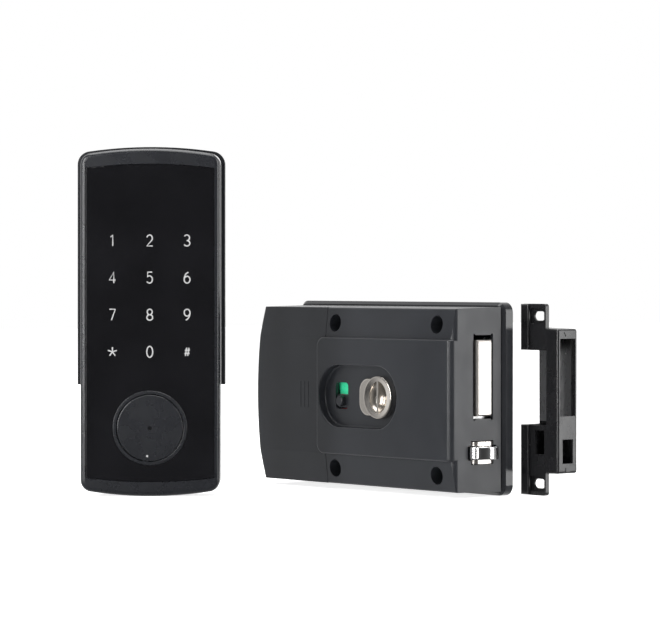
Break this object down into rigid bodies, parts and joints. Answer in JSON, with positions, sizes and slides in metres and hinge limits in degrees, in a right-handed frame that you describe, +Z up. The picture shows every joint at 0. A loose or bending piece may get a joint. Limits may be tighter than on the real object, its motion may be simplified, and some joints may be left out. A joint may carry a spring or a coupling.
{
  "type": "keypad smart lock",
  "caption": "Three-unit smart rim lock: tall touch keypad, indoor lock with thumb-turn, deadbolt and roller latch, and a slotted frame strike.",
  "frame": {"origin": "middle of the indoor lock's back face, where it meets the door", "axes": "+X along the lock towards the bolt end, +Y out of the lock's back into the door, +Z up"},
  "size_m": [0.1738, 0.1846, 0.1662],
  "materials": {
    "cover_black": "satin",
    "base_grey": "satin",
    "nickel": "satin",
    "bolt_steel": "satin",
    "roller_chrome": "polished",
    "dark_steel": "satin",
    "plain_steel": "satin",
    "brass": "satin",
    "board_green": "satin",
    "cell_wrap": "gloss",
    "white_plastic": "satin",
    "flag_green": "satin",
    "flag_red": "satin",
    "bezel_metal": "satin",
    "black_glass": "gloss",
    "gasket_rubber": "matte",
    "strike_dark": "satin"
  },
  "bodies": {
    "lock_case": {"lock_base": "base_grey", "lock_cover": "cover_black", "lock_battery_tray": "white_plastic", "lock_battery_cells": "cell_wrap", "lock_battery_contacts": "plain_steel", "lock_chassis": "plain_steel", "lock_circuit_board": "board_green", "lock_motor": "plain_steel", "lock_bolt_guide": "plain_steel", "lock_latch_guide": "plain_steel", "lock_latch_spring": "plain_steel", "lock_flag_carrier": "white_plastic", "lock_position_sensor": "board_green", "lock_flag_green": "flag_green", "lock_flag_red": "flag_red", "keypad_gasket": "gasket_rubber", "keypad_back_plate": "dark_steel", "keypad_shroud": "bezel_metal", "keypad_bezel": "bezel_metal", "keypad_glass": "black_glass", "keypad_touch_board": "board_green", "keypad_ring": "bezel_metal", "keypad_cylinder_housing": "brass", "keypad_posts": "plain_steel", "keypad_screws": "plain_steel", "keypad_main_board": "board_green", "keypad_buzzer": "base_grey", "strike_body": "strike_dark", "strike_magnet": "plain_steel", "strike_liner": "plain_steel"},
    "thumb_turn": {"lock_thumb_turn": "nickel", "lock_drive_cam": "plain_steel", "lock_drive_wheel": "white_plastic"},
    "motor_worm": {"lock_worm": "brass"},
    "deadbolt": {"lock_deadbolt": "bolt_steel", "lock_bolt_tail": "plain_steel"},
    "latch": {"lock_latch_carriage": "bolt_steel"},
    "latch_roller": {"lock_latch_roller": "roller_chrome"},
    "privacy_slider": {"lock_privacy_slider": "cover_black"},
    "battery_cover": {"lock_battery_cover": "cover_black"},
    "cylinder_cap": {"keypad_cylinder_cap": "bezel_metal"},
    "key_plug": {"keypad_cylinder_plug": "brass", "keypad_tailpiece": "plain_steel"}
  },
  "joints": [
    {"name": "thumb_turn_spin", "type": "hinge", "parent": "lock_case", "child": "thumb_turn", "pos_m": [0.022, -0.02, 0], "axis": [0, 1, 0], "range_deg": [0, 90]},
    {"name": "deadbolt_slide", "type": "slide", "parent": "lock_case", "child": "deadbolt", "axis": [1, 0, 0], "range_m": [0, 0.018]},
    {"name": "motor_worm_spin", "type": "hinge", "parent": "lock_case", "child": "motor_worm", "pos_m": [0.0042, -0.026, 0], "axis": [0, 0, 1], "range_deg": [0, 540]},
    {"name": "latch_push", "type": "slide", "parent": "lock_case", "child": "latch", "axis": [-1, 0, 0], "range_m": [0, 0.0065], "stiffness_N_per_m": 600, "springref_m": -0.004, "deforming": ["lock_latch_spring"]},
    {"name": "roller_spin", "type": "hinge", "parent": "latch", "child": "latch_roller", "pos_m": [0.0751, -0.0191, -0.0248], "axis": [0, 0, 1], "continuous": true},
    {"name": "privacy_slide", "type": "slide", "parent": "lock_case", "child": "privacy_slider", "axis": [0, 0, 1], "range_m": [0, 0.0056]},
    {"name": "battery_cover_slide", "type": "slide", "parent": "lock_case", "child": "battery_cover", "axis": [-1, 0, 0], "range_m": [0, 0.06]},
    {"name": "cylinder_cap_pull", "type": "slide", "parent": "lock_case", "child": "cylinder_cap", "axis": [0.7716, -0.6361, 0], "range_m": [0, 0.012]},
    {"name": "key_plug_turn", "type": "hinge", "parent": "lock_case", "child": "key_plug", "pos_m": [-0.03963, -0.12769, -0.0135], "axis": [0.7716, -0.6361, 0], "range_deg": [-90, 90]}
  ],
  "couplings": [
    {"joint": "deadbolt_slide", "follows": "thumb_turn_spin", "m_per_rad": 0.011434},
    {"joint": "motor_worm_spin", "follows": "thumb_turn_spin", "ratio": 6}
  ]
}
